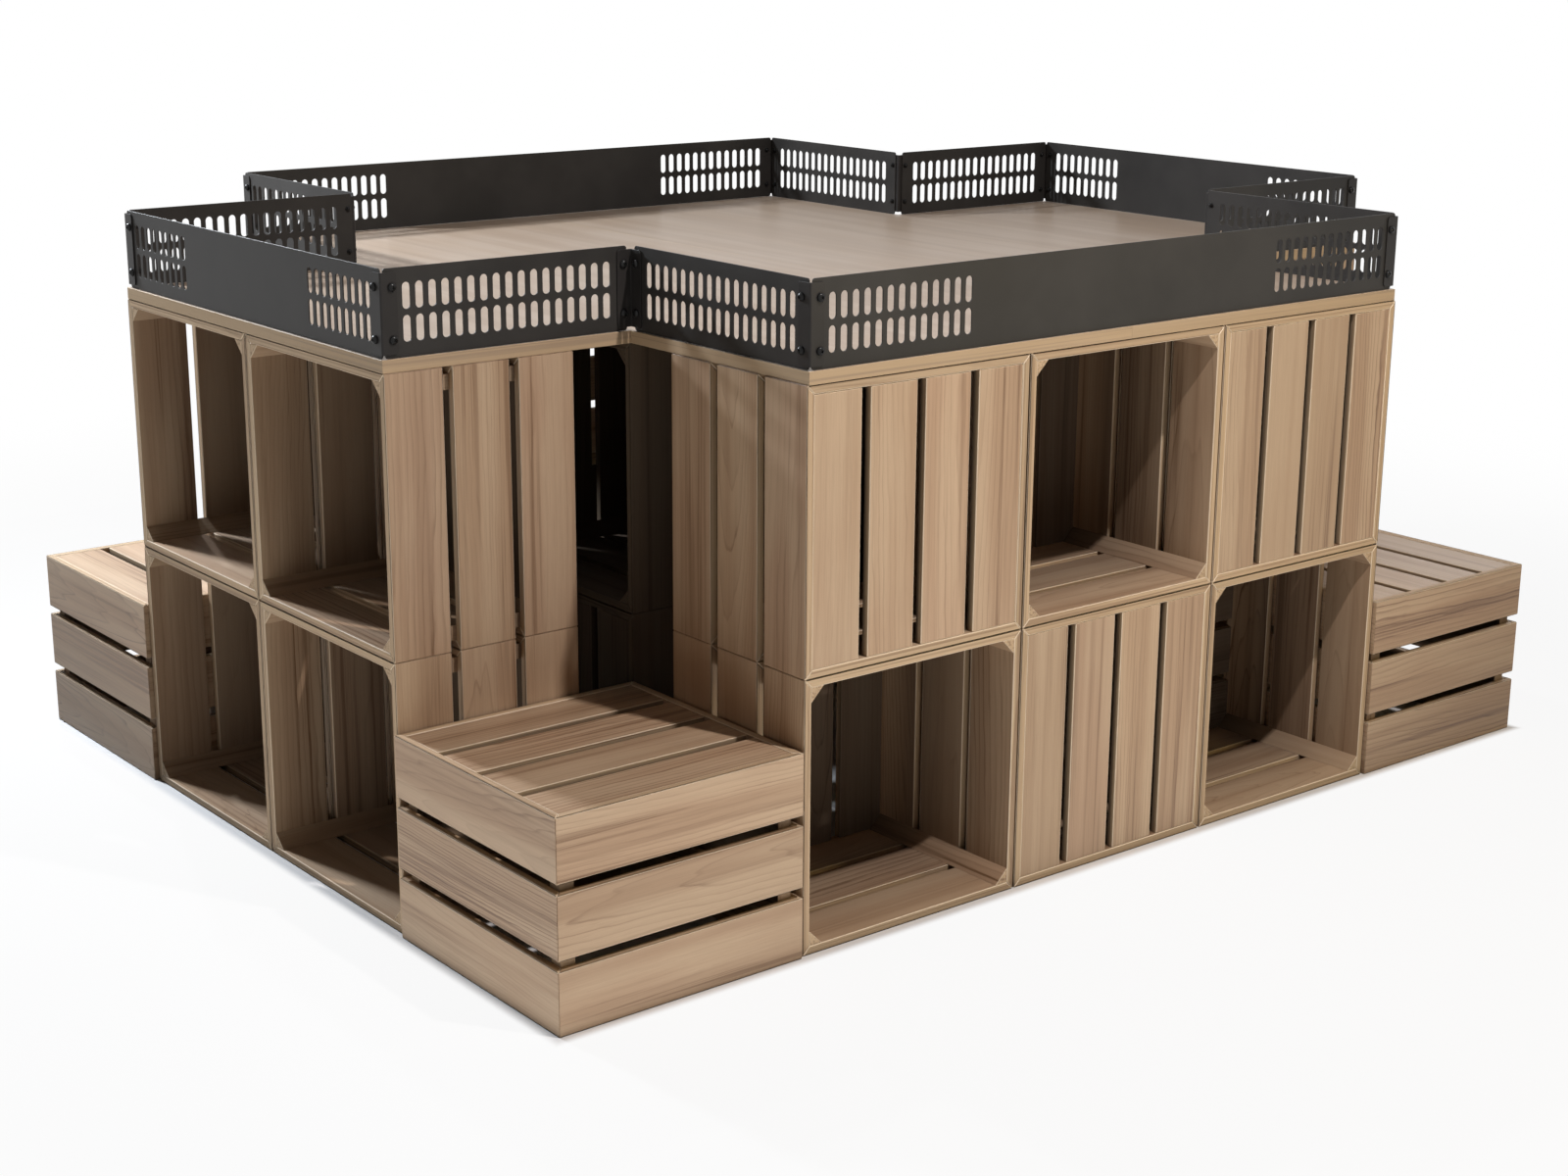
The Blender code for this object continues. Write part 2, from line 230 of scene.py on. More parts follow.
topWood = {
    "base": (0.420, 0.320, 0.230),
    "rosy": (0.410, 0.309, 0.229),
    "pale": (0.475, 0.385, 0.308),
    "line": (0.300, 0.222, 0.162),
    "shade": (0.355, 0.270, 0.206),
    "edge": (0.540, 0.385, 0.222),
    # colour of the painted highlight along every arris
    "corner": (0.640, 0.490, 0.320),
    "ringSpacing": 0.011,
    "ringStrength": 0.35,
    "streakStrength": 0.55,
    "groupStrength": 0.10,
    "poreStrength": 0.12,
    "fibreStrength": 0.10,
    "toneSpread": 0.04,
    "roughness": 0.36,
    "bump": 0.08,
    "bumpHeight": 0.0004,
    "gloss": 0.18,
    "paintedShadeStrength": 0.0,
}


# how often the features of the grain come in a metre along, across and through a board
grainScale = {
    "warp": (2.4, 9.0, 9.0),
    "waver": (15.0, 60.0, 60.0),
    "streak": (0.8, 26.0, 26.0),
    "fading": (4.0, 40.0, 40.0),
    "group": (0.7, 17.0, 17.0),
    "thin": (1.3, 120.0, 120.0),
    "pores": (38.0, 1100.0, 1100.0),
    "fibre": (16.0, 620.0, 620.0),
    "cloud": (5.0, 12.0, 12.0),
    "seam": (1.2, 260.0, 260.0),
}

ringShape = {
    "warp": 0.028,          # metres that the rings swing to the side
    "waver": 0.0066,
    "unevenness": 3.0,      # rings by which a streak shifts them
    "dark": 0.10,           # dark share of a ring, and what a steeply cut one adds to it
    "darkSteep": 0.30,
    "crest": 0.3,           # where in its dark part a ring is darkest, counted from its end
    "tone": 0.12,
}

# kinds of face, as numbers that the finish reads
broad, narrow, arris = 0.0, 0.5, 1.0


def woodFinish(name, wood):
    # grain is metres along, across and through a board, look its tone, figure and seed,
    # heart where the middle of the tree lies: across, below, and how fast it slopes
    finish = Finish(bpy.data.materials, name)
    grain = finish.attribute("grain")
    look = finish.attribute("look")
    along, across, through = finish.split(grain)
    tone, figure, seed = finish.split(look)
    centre, depth, slope = finish.split(finish.attribute("heart"))
    band = finish.attribute("band", "Fac")
    narrowFace = finish.rise(band, 0.2, 0.3)
    shifted = look * 23.7       # takes each board to its own part of the noise

    def feature(name, detail=1.0, roughness=0.5):
        return finish.noise(grain * grainScale[name] + shifted, detail, roughness)

    # rings, drawn as uneven dark lines where a ring ends
    warp = (feature("warp") - 0.5) * ringShape["warp"]
    waver = (feature("waver", 2.0) - 0.5) * ringShape["waver"]
    sideways = across + warp + waver - centre
    down = through + depth + along * slope
    reach = (sideways * sideways + down * down) ** 0.5
    streak = feature("streak", 2.0, 0.55)
    rings = reach / ((seed * 0.8 + 0.6) * wood["ringSpacing"]) + streak * ringShape["unevenness"]
    turn = finish.node("ShaderNodeMath", {"operation": "FRACT"}, {0: rings})
    number = finish.node("ShaderNodeMath", {"operation": "FLOOR"}, {0: rings})
    # each ring of each board has its own strength
    lineStrength = finish.node("ShaderNodeTexWhiteNoise", {"noise_dimensions": "1D"},
                               {"W": number * 1.37 + seed * 91.0}, "Value")
    faded = feature("fading")
    group = finish.rise(finish.noise(grain * grainScale["group"] - shifted, 1.0), 0.44, 0.56)
    steep = finish.node("ShaderNodeMath", {"operation": "ABSOLUTE"}, {0: sideways / reach})
    width = steep * ringShape["darkSteep"] + ringShape["dark"]
    crest = 1 - width * ringShape["crest"]
    ringLine = finish.rise(turn, 1 - width, crest) * finish.rise(turn, crest, 1.0, 1.0, 0.0)
    ringLine = ringLine * (lineStrength * 0.7 + 0.3) * finish.rise(faded, 0.30, 0.60, 0.35, 1.0)
    ringLine = ringLine * (group * 0.5 + 0.5)
    ringTone = finish.rise(turn, 0.0, 0.9) * finish.rise(turn, 0.9, 1.0, 1.0, 0.0)

    # broad and narrow streaks along the board, the pores and the fibres
    thin = feature("thin", 3.0, 0.65)
    pores = feature("pores")
    fibre = feature("fibre", 2.0, 0.6)
    cloud = feature("cloud")

    dark = (ringLine + ringTone * ringShape["tone"]) * (figure * 0.96 + 0.04) * wood["ringStrength"]
    dark = dark + finish.rise(thin, 0.52, 0.72) * (figure * 0.30 + 0.20) * wood["streakStrength"]
    grouped = group * finish.rise(streak, 0.46, 0.60)
    dark = dark + finish.rise(thin, 0.50, 0.58) * grouped * wood["groupStrength"]
    dark = dark + finish.rise(pores, 0.60, 0.80) * (dark * 0.6 + 0.4) * wood["poreStrength"]
    shade = finish.rise(streak, 0.42, 0.62) * wood["streakStrength"] * (figure * 0.30 + 0.60)
    colour = finish.mix(wood["base"], wood["rosy"], seed)
    colour = finish.mix(wood["pale"], colour, finish.rise(cloud + streak, 0.70, 1.25, 0.35, 1.0))
    colour = finish.mix(colour, wood["shade"], shade)

    # narrow faces are paler, with fine lines along them; every arris is rubbed pale and given a painted
    # highlight
    seam = feature("seam")
    colour = finish.mix(colour, wood["edge"], narrowFace * 0.65)
    dark = dark * (1 - narrowFace * 0.5) + finish.rise(seam, 0.50, 0.66) * narrowFace * 0.50
    colour = finish.mix(colour, wood["line"], dark)
    colour = colour * ((fibre - 0.5) * wood["fibreStrength"] + 1.0)
    colour = colour * ((tone - 0.5) * wood["toneSpread"] + 1.0)
    # painted shade inside the crates, 0 at the opening, 1 at the bottom; darkens and roughens
    paintedShade = finish.attribute("paintedShade", "Fac")
    # painted highlight along every arris, fainter under the painted shade inside a crate
    arrisHighlight = finish.rise(band, 0.7, 0.8, 0.0, 0.65) * (1 - paintedShade * 0.7)
    colour = finish.mix(colour, wood["corner"], arrisHighlight)
    colour = colour * (1 - paintedShade * wood["paintedShadeStrength"])

    height = fibre * 0.5 + thin * 0.3 - ringLine * 0.4
    bump = finish.node("ShaderNodeBump", {}, {
        "Strength": wood["bump"], "Distance": wood["bumpHeight"], "Height": height}, "Normal")
    finish.set(Base_Color=colour, Normal=bump, Specular_IOR_Level=wood["gloss"],
               Roughness=(1 - dark) * 0.08 + paintedShade * 0.5 + narrowFace * 0.15 + (wood["roughness"] - 0.06))
    return finish.owner


# boards, made of flat outlines with rounded edges

def insetOutline(outline, distance):
    # moves each side of a counterclockwise outline inwards
    moved = []
    for before, here, after in zip(outline[-1:] + outline[:-1], outline, outline[1:] + outline[:1]):
        first = (here - before).normalized()
        second = (after - here).normalized()
        inwards = Vector((-first.y, first.x)) + Vector((-second.y, second.x))
        moved.append(here + inwards * (distance / (1 + first.dot(second))))
    return moved


def arc(centre, radius, start, end, steps):
    points = []
    for step in range(steps + 1):
        angle = math.radians(start + (end - start) * step / steps)
        points.append(Vector(centre) + radius * Vector((math.cos(angle), math.sin(angle))))
    return points


def roundedBox(left, low, right, high, radius, steps=2):
    # a rectangle with rounded corners, counterclockwise
    return (arc((left + radius, low + radius), radius, 180, 270, steps)
            + arc((right - radius, low + radius), radius, 270, 360, steps)
            + arc((right - radius, high - radius), radius, 0, 90, steps)
            + arc((left + radius, high - radius), radius, 90, 180, steps))


# where the middle of the tree may lie beside and below a board, and how fast it slopes away
heartPlaces = {
    "straight": {"centre": (0.07, 0.20), "depth": (0.02, 0.08), "slope": (-0.10, 0.10)},
    "arched": {"centre": (0.0, 0.035), "depth": (0.040, 0.090), "slope": (0.03, 0.07)},
}


class Timber:
    # gathers the boards of one piece into one mesh, each a closed body of its own
    def __init__(self, seed, paintedShadeAt):
        self.verts, self.faces = [], []
        self.grain, self.look, self.heart, self.band, self.paintedShade = [], [], [], [], []
        self.chance = random.Random(seed)
        self.paintedShadeAt = paintedShadeAt

    def board(self, outline, length, rounding, place, order, character, capBand=narrow, sideBands=None):
        # raises an outline by length; order picks along, across and through out of (u, v, w),
        # and the bands say which kind of face its two ends and its sides are
        straight = self.chance.random() > character["arched"]
        look = (self.chance.random(), self.chance.random() ** character["calm"], self.chance.random())
        heart = heartPlaces["straight" if straight else "arched"]
        centre = self.chance.choice((-1, 1)) * self.chance.uniform(*heart["centre"])
        depth = self.chance.uniform(*heart["depth"])
        way = 1 if straight else self.chance.choice((-1, 1))
        slope = way * self.chance.uniform(*heart["slope"])
        shift = Vector([self.chance.uniform(-0.05, 0.05) for _ in range(3)])
        shift.y = shift.z = 0
        middle = Vector((sum(p.x for p in outline) / len(outline),
                         sum(p.y for p in outline) / len(outline), length / 2))
        first = len(self.verts)
        count = len(outline)
        layers = [(rounding, 0), (0, rounding), (0, length - rounding), (rounding, length)]
        for inset, height in layers:
            for point in insetOutline(outline, inset) if inset else outline:
                local = Vector((point.x, point.y, height))
                self.verts.append(place @ local)
                # each point's painted shade, by how deep inside a crate it lies
                self.paintedShade.append(self.paintedShadeAt(self.verts[-1]))
                centred = local - middle
                self.grain.append(Vector([centred[axis] for axis in order]) + shift)
        total = len(self.verts) - first
        self.look += [look] * total
        self.heart += [(centre, depth, slope)] * total
        for layer in range(len(layers) - 1):
            for number in range(count):
                following = (number + 1) % count
                low, high = first + layer * count, first + (layer + 1) * count
                self.faces.append((low + number, low + following, high + following, high + number))
                sideBand = sideBands[number] if sideBands else broad
                self.band.append(sideBand if layer == 1 else arris)
        self.faces.append(tuple(first + number for number in reversed(range(count))))
        top = first + (len(layers) - 1) * count
        self.faces.append(tuple(top + number for number in range(count)))
        self.band += [capBand, capBand]

    def made(self, name, material, node, slot):
        mesh = bpy.data.meshes.new(name)
        mesh.from_pydata(self.verts, [], self.faces)
        for attribute, rows in (("grain", self.grain), ("look", self.look), ("heart", self.heart)):
            values = mesh.attributes.new(attribute, "FLOAT_VECTOR", "POINT")
            values.data.foreach_set("vector", [number for row in rows for number in row])
        mesh.attributes.new("band", "FLOAT", "FACE").data.foreach_set("value", self.band)
        mesh.attributes.new("paintedShade", "FLOAT", "POINT").data.foreach_set("value", self.paintedShade)
        return showPiece(mesh, name, material, node)


def showPiece(mesh, name, material, node, replacing=True):
    mesh.materials.append(material)
    shown = addObject(name, mesh)
    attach(shown, frame["nodes"][node]["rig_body"])
    if replacing:
        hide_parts(node)
    return shown


# crates

crate = {
    "side": 0.400,
    "depth": 0.300,
    "board": 0.012,
    "rings": 3,
    "ringGap": 0.015,
    "slats": 4,
    "slatGap": 0.015,
    "slatRecess": 0.001,
    "post": 0.022,
    "postRecess": 0.0006,
    "joint": 0.0003,
    "rounding": 0.0011,
    "cornerRadius": 0.0014,
    "paintedShadeCurve": 0.7,    # below 1 the painted shade inside gets darker soon behind the opening
    "seed": 1000,
    "wallCharacter": {"arched": 0.40, "calm": 0.8},
    "slatCharacter": {"arched": 0.12, "calm": 2.0},
    "postCharacter": {"arched": 0.0, "calm": 4.0},
}


def crateTurn(node):
    # reads off a node which way its crate opens and which way its slats run
    solid = frame["nodes"][node]
    tree = BVHTree.FromPolygons([v.co for v in solid.data.vertices],
                                [p.vertices for p in solid.data.polygons])
    low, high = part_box(node)
    middle = (low + high) / 2
    axes = [Vector((1, 0, 0)), Vector((0, 1, 0)), Vector((0, 0, 1))]
    aside = 0.03
    for number, axis in enumerate(axes):
        others = axes[:number] + axes[number + 1:]
        for sign in (-1, 1):
            if tree.ray_cast(middle + (others[0] + others[1]) * aside, axis * sign)[0] is None:
                mouth = axis * sign
                for slatWay in others:
                    if tree.ray_cast(middle + slatWay * aside, -mouth)[0] is None:
                        inwards = -mouth
                        columns = Matrix((inwards.cross(slatWay), inwards, slatWay)).transposed()
                        return Matrix.Translation(middle) @ columns.to_4x4()
    raise ValueError("no opening found in " + node)


def buildCrate(node, number, material):
    half, depth, thick = crate["side"] / 2, crate["depth"], crate["board"]
    inner = half - thick
    joint, rounding, radius = crate["joint"], crate["rounding"], crate["cornerRadius"]
    turned = crateTurn(node)
    back = turned.inverted()
    slack = 0.0005

    def paintedShadeAt(point):
        # painted shade of a point: how far inside the crate it lies, from its opening to its bottom
        x, y, z = back @ point
        inside = max(abs(x), abs(z)) < inner + slack and y < depth / 2 - thick + slack
        # the crates in the core stand in shade, so they get full painted shade
        if "core" in node:
            return 1.0
        return max(0.0, (y + depth / 2) / depth) ** crate["paintedShadeCurve"] if inside else 0.0

    timber = Timber(crate["seed"] + number, paintedShadeAt)

    # wall boards, mitred, three rings of four
    outline = (arc((-half + radius, radius), radius, 225, 270, 2)
               + arc((half - radius, radius), radius, 270, 315, 2)
               + [Vector((half - thick - joint, thick)), Vector((-half + thick + joint, thick))])
    outline[0].x += joint
    outline[5].x -= joint
    width = (depth - (crate["rings"] - 1) * crate["ringGap"]) / crate["rings"]
    for ring in range(crate["rings"]):
        start = -depth / 2 + ring * (width + crate["ringGap"])
        for side in range(4):
            stand = Matrix(((-1, 0, 0, 0), (0, 0, 1, start), (0, 1, 0, -half), (0, 0, 0, 1)))
            place = turned @ Matrix.Rotation(side * math.pi / 2, 4, "Y") @ stand
            timber.board(outline, width, rounding, place, (0, 2, 1), crate["wallCharacter"])

    # slats of the bottom
    slatWidth = (2 * inner - (crate["slats"] - 1) * crate["slatGap"]) / crate["slats"]
    face = depth / 2 - crate["slatRecess"]
    for slat in range(crate["slats"]):
        left = -inner + slat * (slatWidth + crate["slatGap"])
        outline = roundedBox(left + joint, face - thick, left + slatWidth - joint, face, rounding)
        place = turned @ Matrix.Translation((0, 0, -inner + joint))
        timber.board(outline, 2 * (inner - joint), rounding, place, (2, 0, 1), crate["slatCharacter"],
                     narrow, [arris, arris, broad, arris, arris, narrow] * 2)

    # posts in the corners, from the opening to the slats
    leg = crate["post"]
    outline = [Vector((joint, joint)), Vector((leg, joint)), Vector((joint, leg))]
    length = depth - crate["postRecess"] - crate["slatRecess"] - thick - joint
    for corner in range(4):
        stand = Matrix(((-1, 0, 0, inner), (0, 0, 1, -depth / 2 + crate["postRecess"]),
                        (0, 1, 0, -inner), (0, 0, 0, 1)))
        place = turned @ Matrix.Rotation(corner * math.pi / 2, 4, "Y") @ stand
        timber.board(outline, length, rounding / 2, place, (2, 0, 1), crate["postCharacter"])

    timber.made(node + "_boards", material, node, "crate_wood")


crateFinish = woodFinish("crateBoards", crateWood)
crateNodes = sorted(name for name in frame["nodes"] if "crate" in name)
for number, node in enumerate(crateNodes):
    buildCrate(node, number, crateFinish)
print("stand:", len(crateNodes), "crates built")


# tabletop

tabletop = {
    "endX": 1.0,
    "endY": 0.8,
    "armX": 0.6,
    "armY": 0.4,
    "seam": 0.00015,
    "band": 0.0010,
    "joint": 0.00005,
    "rounding": 0.0004,
    "seed": 2000,
    "character": {"arched": 0.5, "calm": 1.5},
}


def buildTopHalf(side, node, number, material):
    low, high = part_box(node)
    thick = high.z - low.z
    size = tabletop
    corners = [Vector(point) for point in (
        (size["seam"], -size["endY"]), (size["armX"], -size["endY"]), (size["armX"], -size["armY"]),
        (size["endX"], -size["armY"]), (size["endX"], size["armY"]), (size["armX"], size["armY"]),
        (size["armX"], size["endY"]), (size["seam"], size["endY"]))]
    inset = insetOutline(corners, size["band"] + size["joint"])
    inset[0].x = inset[-1].x = size["seam"]
    banded = insetOutline(corners, size["band"])
    banded[0].x = banded[-1].x = size["seam"]
    mirror = Matrix.Rotation(math.pi, 4, "Z") if side < 0 else Matrix.Identity(4)
    lift = Matrix.Translation((0, 0, low.z))
    timber = Timber(size["seed"] + number, lambda point: 0.0)
    timber.board(inset, thick, size["rounding"] / 2, lift @ mirror, (1, 0, 2), size["character"], broad)
    for first in range(len(corners) - 1):
        here, there = corners[first], corners[first + 1]
        along = (there - here).normalized()
        turn = math.atan2(along.y, along.x)
        place = lift @ mirror @ Matrix.Translation((here.x, here.y, 0)) @ Matrix.Rotation(turn, 4, "Z")
        flat = Matrix.Rotation(-turn, 2)
        strip = [flat @ (point - here) for point in (here, there, banded[first + 1], banded[first])]
        timber.board(strip, thick, size["rounding"], place, (0, 2, 1), size["character"],
                     narrow, [narrow] * 4)
    timber.made(node + "_slab", material, node, "tabletop_wood")


topFinish = woodFinish("tabletopBoards", topWood)
buildTopHalf(-1, "tabletop_left", 0, topFinish)
buildTopHalf(1, "tabletop_right", 1, topFinish)
print("stand: tabletop built")


# coated steel of the fence

fencePaint = {
    "panel": {"colour": (0.031, 0.029, 0.027), "roughness": 0.46},
    "bracket": {"colour": (0.024, 0.022, 0.021), "roughness": 0.40},
    "screw": {"colour": (0.010, 0.010, 0.010), "roughness": 0.28},
    "gloss": 0.20,
    "grainSize": 700.0,
    "bump": 0.12,
    "bumpHeight": 0.0003,
    "smudgeSize": 6.0,
    "smudgeTones": (0.80, 1.25),
    "smudgeSheen": 0.16,
}


def paintFinish(name, coat):
    finish = Finish(bpy.data.materials, name)
    place = finish.node("ShaderNodeTexCoord", {}, {}, "Object")
    peel = finish.noise(place * fencePaint["grainSize"], 2.0)
    smudge = finish.noise(place * fencePaint["smudgeSize"], 3.0, 0.6)
    deep, light = [[share * value for value in coat["colour"]] for share in fencePaint["smudgeTones"]]
    tone = finish.mix(deep, light, finish.rise(smudge, 0.3, 0.7))
    bump = finish.node("ShaderNodeBump", {}, {
        "Strength": fencePaint["bump"], "Distance": fencePaint["bumpHeight"], "Height": peel}, "Normal")
    finish.set(Base_Color=tone, Normal=bump, Specular_IOR_Level=fencePaint["gloss"],
               Roughness=(smudge - 0.5) * fencePaint["smudgeSheen"] + coat["roughness"])
    return finish.owner


panelFinish = paintFinish("fencePaint", fencePaint["panel"])
bracketFinish = paintFinish("bracketPaint", fencePaint["bracket"])
screwFinish = paintFinish("screwBlacking", fencePaint["screw"])

panel = {
    "thickness": 0.002,
    "height": 0.120,
    "cornerRadius": 0.004,
    "edge": 0.00025,
    "slotWidth": 0.012,
    "slotLength": 0.036,
    "slotPitch": 0.020,
    "rowPitch": 0.044,
    "endMargin": 0.034,
    "groups": {"fence_front": 13, "fence_back": 13, "fence_left": 9, "fence_right": 9},
}


def slotPlaces(length, group):
    if group:
        offsets = [panel["endMargin"] + number * panel["slotPitch"] for number in range(group)]
        return offsets + [length - offset for offset in offsets]
    count = math.floor((length - 2 * panel["endMargin"]) / panel["slotPitch"]) + 1
    first = (length - (count - 1) * panel["slotPitch"]) / 2
    return [first + number * panel["slotPitch"] for number in range(count)]


def slotOutline(x, z, grow):
    radius = panel["slotWidth"] / 2 + grow
    straight = (panel["slotLength"] - panel["slotWidth"]) / 2
    return arc((x, z + straight), radius, 0, 180, 10) + arc((x, z - straight), radius, 180, 360, 10)


def builtMesh(bm, name, turned=True):
    # turns a built body into a mesh, with its faces turned outwards
    if turned:
        bmesh.ops.recalc_face_normals(bm, faces=bm.faces)
    mesh = bpy.data.meshes.new(name)
    bm.to_mesh(mesh)
    bm.free()
    return mesh


def bridge(bm, lower, upper):
    # joins two rings of points by faces, three-sided ones where a ring is a single point
    for corners in zip(lower, lower[1:] + lower[:1], upper[1:] + upper[:1], upper):
        bm.faces.new(list(dict.fromkeys(corners)))


def sheetMesh(name, outlines, holes, thickness, edge):
    # a flat sheet whose outline and holes are given at full size and pulled back by the edge
    bm = bmesh.new()
    loops = []
    for full, back in [outlines] + holes:
        rings = []
        for points, depth in ((back, 0), (full, edge), (full, thickness - edge), (back, thickness)):
            rings.append([bm.verts.new((p.x, p.y, depth)) for p in points])
        for lower, upper in zip(rings, rings[1:]):
            bridge(bm, lower, upper)
        loops.append(rings)
    for level in (0, -1):
        rim = []
        for rings in loops:
            ring = rings[level]
            rim += [bm.edges.get((a, b)) for a, b in zip(ring, ring[1:] + ring[:1])]
        bmesh.ops.triangle_fill(bm, edges=rim, use_beauty=True, use_dissolve=False)
    return builtMesh(bm, name)


def smoothRound(mesh, angle=35):
    mesh.shade_smooth()
    mesh.set_sharp_from_angle(angle=math.radians(angle))


def panelLine(node):
    # start and way of a panel, read off its node, with its outer face to the right of the way
    low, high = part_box(node)
    middle = (low + high) / 2
    if high.x - low.x > high.y - low.y:
        outwards = Vector((0, math.copysign(1, middle.y), 0))
    else:
        outwards = Vector((math.copysign(1, middle.x), 0, 0))
    way = Vector((0, 0, 1)).cross(outwards)
    span = high - low
    length = max(span.x, span.y)
    start = middle - way * length / 2 + outwards * panel["thickness"] / 2
    return start, way, outwards, length


def buildPanel(node, material):
    start, way, outwards, length = panelLine(node)
    half, edge = panel["height"] / 2, panel["edge"]
    radius = panel["cornerRadius"]
    outline = roundedBox(0, -half, length, half, radius, 5)
    holes = []
    for x in slotPlaces(length, panel["groups"].get(node, 0)):
        for z in (-panel["rowPitch"] / 2, panel["rowPitch"] / 2):
            holes.append((slotOutline(x, z, 0), slotOutline(x, z, edge)))
    mesh = sheetMesh(node + "_sheet", (outline, insetOutline(outline, edge)), holes,
                     panel["thickness"], edge)
    columns = Matrix((way, Vector((0, 0, 1)), outwards)).transposed().to_4x4()
    mesh.transform(Matrix.Translation(start - outwards * panel["thickness"]) @ columns)
    smoothRound(mesh)
    showPiece(mesh, node + "_sheet", material, node)


panelNodes = sorted(name for name in frame["nodes"] if name.startswith("fence_"))
for node in panelNodes:
    buildPanel(node, panelFinish)
print("stand:", len(panelNodes), "fence panels built")


# corner brackets and their screws

bracket = {
    "gap": 0.0003,
    "thickness": 0.002,
    "flange": 0.025,
    "height": 0.110,
    "tipRadius": 0.005,
    "bendRadius": 0.0016,
    "edge": 0.0003,
    "edgeAngle": 50,
    "setback": 0.015,
    "spacing": 0.070,
    "linesX": (0.596, 0.996),   # where the fence's lines lie, from the middle of the stand
    "linesY": (0.396, 0.796),
}

screw = {
    "seed": 3000,
    "radius": 0.0060,
    "height": 0.0050,
    "skirt": 0.0012,
    "foot": 0.0002,
    "recess": 0.0042,
    "recessWidth": 0.0011,
    "recessDepth": 0.0022,
    "recessTaper": (0.35, 0.7),
    "cutAbove": 0.002,
    "stemRadius": 0.0028,
    "stem": 0.0045,
    "stemTip": 0.0006,
    "collarRadius": 0.0046,
    "collar": 0.0018,
}


def foldedPlan(position, turnsOutwards):
    # where a point of the bent strip lies in plan, by its distance along the strip from the fold
    side = -1 if turnsOutwards else 1
    middle = side * (bracket["gap"] + bracket["thickness"] / 2)
    radius = bracket["bendRadius"]
    quarter = radius * math.pi / 4
    reach = abs(position)
    if reach >= quarter:
        x, y = middle + radius + reach - quarter, middle
    else:
        angle = math.radians(225) + reach / radius
        x = middle + radius + radius * math.cos(angle)
        y = middle + radius + radius * math.sin(angle)
    return (x, y) if position >= 0 else (y, x)


def bracketMesh(name, turnsOutwards):
    side = -1 if turnsOutwards else 1
    heel = bracket["gap"] if side > 0 else -(bracket["gap"] + bracket["thickness"])
    middle = side * (bracket["gap"] + bracket["thickness"] / 2)
    radius = bracket["bendRadius"]
    quarter = radius * math.pi / 4
    end = heel + bracket["flange"] - middle - radius + quarter
    half, tip = bracket["height"] / 2, bracket["tipRadius"]
    bends = 4
    flange = ([Vector((quarter, -half))] + arc((end - tip, -half + tip), tip, 270, 360, 5)
              + arc((end - tip, half - tip), tip, 0, 90, 5) + [Vector((quarter, half))])
    bm = bmesh.new()
    seams = {}

    def corner(s, z):
        key = (round(s, 7), round(z, 7))
        if key not in seams:
            seams[key] = bm.verts.new((*foldedPlan(s, turnsOutwards), z))
        return seams[key]

    bm.faces.new([corner(p.x, p.y) for p in flange])
    bm.faces.new([corner(-p.x, p.y) for p in reversed(flange)])
    for number in range(2 * bends):
        near = -quarter + number * quarter / bends
        far = near + quarter / bends
        bm.faces.new((corner(near, -half), corner(far, -half), corner(far, half), corner(near, half)))
    return builtMesh(bm, name)


def lathe(bm, profile, steps):
    # turns a profile of (radius, height) pairs, closed at both ends on the axis
    rings = []
    for radius, height in profile:
        if radius == 0:
            rings.append([bm.verts.new((0, 0, height))] * steps)
        else:
            rings.append([bm.verts.new((radius * math.cos(2 * math.pi * step / steps),
                                        radius * math.sin(2 * math.pi * step / steps), height))
                          for step in range(steps)])
    for lower, upper in zip(rings, rings[1:]):
        bridge(bm, lower, upper)


def screwMesh():
    # a pan head with a cross in it, standing on z = 0
    radius, height, skirt, foot = screw["radius"], screw["height"], screw["skirt"], screw["foot"]
    bm = bmesh.new()
    dome = [(radius * math.cos(math.radians(a)), skirt + (height - skirt) * math.sin(math.radians(a)))
            for a in (0, 15, 30, 45, 58, 70, 80)]
    lathe(bm, [(0, -foot), (radius * 0.985, -foot), (radius, foot)] + dome + [(0, height)], 28)
    body = addObject("screwBlank", builtMesh(bm, "screwHead"))
    cutters = []
    for turn in (0, math.pi / 2):
        bm = bmesh.new()
        long, wide, deep = screw["recess"], screw["recessWidth"], screw["recessDepth"]
        outline = roundedBox(-long, -wide, long, wide, wide * 0.45, 2)
        taperLong, taperWide = screw["recessTaper"]
        low = [bm.verts.new((p.x * taperLong, p.y * taperWide, height - deep)) for p in outline]
        high = [bm.verts.new((p.x, p.y, height + screw["cutAbove"])) for p in outline]
        bridge(bm, low, high)
        bm.faces.new(list(reversed(low)))
        bm.faces.new(high)
        bmesh.ops.rotate(bm, verts=bm.verts[:], matrix=Matrix.Rotation(turn, 3, "Z"))
        cutter = addObject("screwBlade", builtMesh(bm, "screwBlade", turned=False))
        cut = body.modifiers.new("cross", "BOOLEAN")
        cut.operation = "DIFFERENCE"
        cut.solver = "EXACT"
        cut.object = cutter
        cutters.append(cutter)
    bpy.context.view_layer.update()
    evaluated = body.evaluated_get(bpy.context.evaluated_depsgraph_get())
    made = bpy.data.meshes.new_from_object(evaluated)
    for spare in cutters + [body]:
        bpy.data.objects.remove(spare, do_unlink=True)
    return made


def stemMesh():
    # the end of a screw with its pressed-in collar, on the far side of the sheet
    bm = bmesh.new()
    stem, collar = screw["stem"], screw["collar"]
    thin, thick = screw["stemRadius"], screw["collarRadius"]
    lathe(bm, [(0, 0), (thick, 0), (thick, collar * 0.8), (thick * 0.92, collar), (thin, collar),
               (thin, stem - screw["stemTip"]), (thin * 0.75, stem), (0, stem)], 20)
    return builtMesh(bm, "screwStem")


def nearestLine(value, lines):
    # which line of the fence a bracket stands at, on its own side of the middle
    return math.copysign(min(lines, key=lambda line: abs(abs(value) - line)), value)


